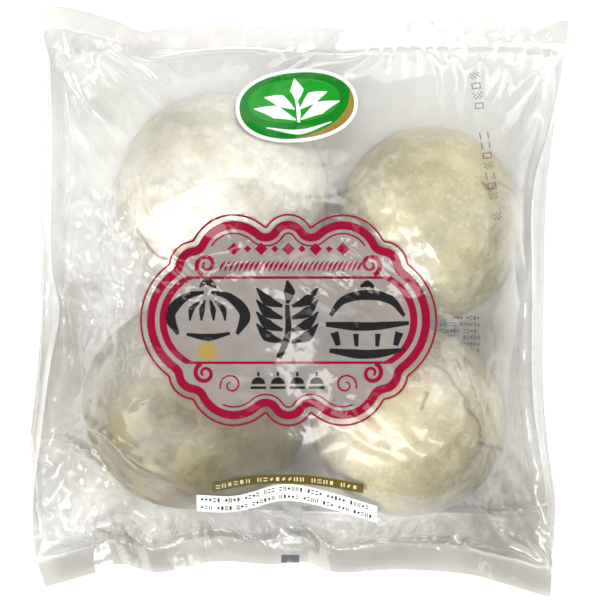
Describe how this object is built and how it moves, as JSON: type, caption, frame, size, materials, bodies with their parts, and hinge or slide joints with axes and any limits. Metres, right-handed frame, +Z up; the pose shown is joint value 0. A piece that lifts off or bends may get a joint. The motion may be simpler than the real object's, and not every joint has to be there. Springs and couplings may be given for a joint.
{
  "type": "sealed clear bag of frozen steamed buns",
  "caption": "Clear printed pillow bag, sealed at both ends, lying on its back with large round steamed buns showing through the film.",
  "frame": {"origin": "middle of the pack's footprint, on the table it lies on", "axes": "+Z up through the printed front, +Y towards the top seal, +X to the right as the front is read"},
  "size_m": [0.232, 0.2554, 0.0515],
  "materials": {
    "bag_film": "glossy see-through film, creased, over pale cream dough",
    "label_paper": "satin white sticker",
    "dough": "matte pale cream steamed dough, with thin frost",
    "ink_crimson": "printed under the film",
    "ink_black": "printed under the film",
    "ink_gold": "printed under the film",
    "ink_green": "printed under the film",
    "ink_grey": "thin see-through tint printed under the film"
  },
  "bodies": {
    "root": {"bag": "bag_film", "weight_label": "label_paper"}
  },
  "joints": []
}
